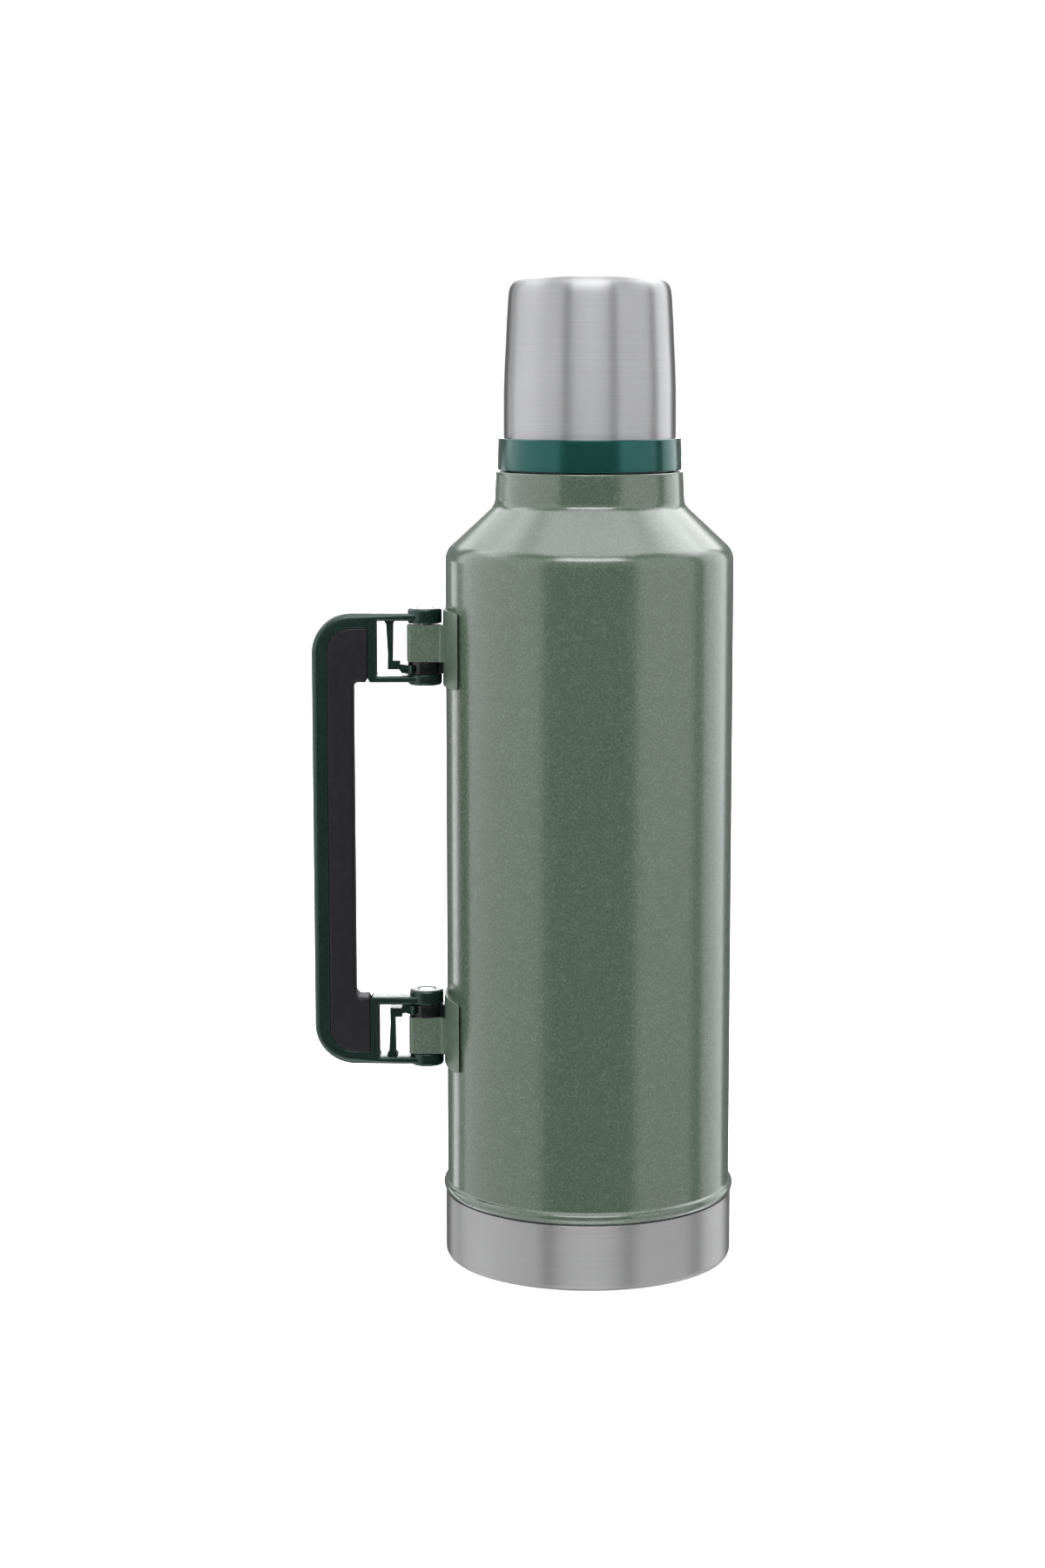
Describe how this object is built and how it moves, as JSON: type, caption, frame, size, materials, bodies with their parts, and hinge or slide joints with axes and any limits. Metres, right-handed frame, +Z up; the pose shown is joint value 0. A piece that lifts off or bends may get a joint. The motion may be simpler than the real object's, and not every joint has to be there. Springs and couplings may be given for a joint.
{
  "type": "vacuum flask",
  "caption": "Tall steel vacuum flask with hammertone green paint, a screw-on steel drinking cup, a screw stopper and a side handle that folds flat.",
  "frame": {"origin": "centre of the base, on the surface it stands on", "axes": "+Z up along the bottle's axis, the handle reaches out along -X"},
  "size_m": [0.1589, 0.1102, 0.3691],
  "materials": {
    "hammertone_paint": "hammertone green enamel, fine mottle",
    "brushed_steel": "circumferential brushing",
    "plain_steel": "drawn, satin",
    "braze": "dull",
    "getter_metal": "sintered, dull",
    "dark_plastic": "moulded",
    "stopper_plastic": "moulded, fine texture",
    "foam": "closed-cell foam",
    "silicone": "satin",
    "liner_plastic": "moulded",
    "green_gloss_plastic": "glossy",
    "black_plastic": "moulded",
    "pin_steel": "turned, bright",
    "green_satin_plastic": "satin, fine texture",
    "grip_rubber": "fine matte texture"
  },
  "bodies": {
    "bottle": {"outer_shell": "hammertone_paint", "base_cup": "brushed_steel", "outer_bottom": "plain_steel", "vacuum_seal": "braze", "getter": "getter_metal", "inner_liner": "plain_steel", "liner_bottom": "plain_steel", "neck_collar": "dark_plastic", "upper_bracket": "hammertone_paint", "lower_bracket": "hammertone_paint", "upper_hinge_bush": "black_plastic", "lower_hinge_bush": "black_plastic"},
    "stopper_core": {"stopper_insulation": "foam", "stopper_gasket": "silicone"},
    "stopper": {"stopper_body": "stopper_plastic", "stopper_cap": "stopper_plastic"},
    "cup_lining": {"cup_liner": "liner_plastic"},
    "cup": {"cup_shell": "brushed_steel", "cup_ring": "green_gloss_plastic"},
    "handle": {"handle_frame": "green_satin_plastic", "handle_grip": "grip_rubber", "upper_hinge_pin": "pin_steel", "lower_hinge_pin": "pin_steel", "upper_detent_spring": "green_satin_plastic", "lower_detent_spring": "green_satin_plastic"}
  },
  "joints": [
    {"name": "handle_fold", "type": "hinge", "parent": "bottle", "child": "handle", "pos_m": [-0.0615, 0, 0.16], "axis": [0, 0, 1], "range_deg": [-90, 90]},
    {"name": "stopper_rise", "type": "slide", "parent": "bottle", "child": "stopper_core", "axis": [0, 0, 1], "range_m": [0, 0.04]},
    {"name": "stopper_turn", "type": "hinge", "parent": "stopper_core", "child": "stopper", "pos_m": [0, 0, 0.32], "axis": [0, 0, 1], "range_deg": [0, 1800]},
    {"name": "cup_rise", "type": "slide", "parent": "stopper", "child": "cup_lining", "axis": [0, 0, 1], "range_m": [0, 0.048]},
    {"name": "cup_turn", "type": "hinge", "parent": "cup_lining", "child": "cup", "pos_m": [0, 0, 0.34], "axis": [0, 0, 1], "range_deg": [0, 2160]}
  ],
  "couplings": [
    {"joint": "stopper_rise", "follows": "stopper_turn", "m_per_rad": 0.0012732},
    {"joint": "cup_rise", "follows": "cup_turn", "m_per_rad": 0.0012732}
  ]
}
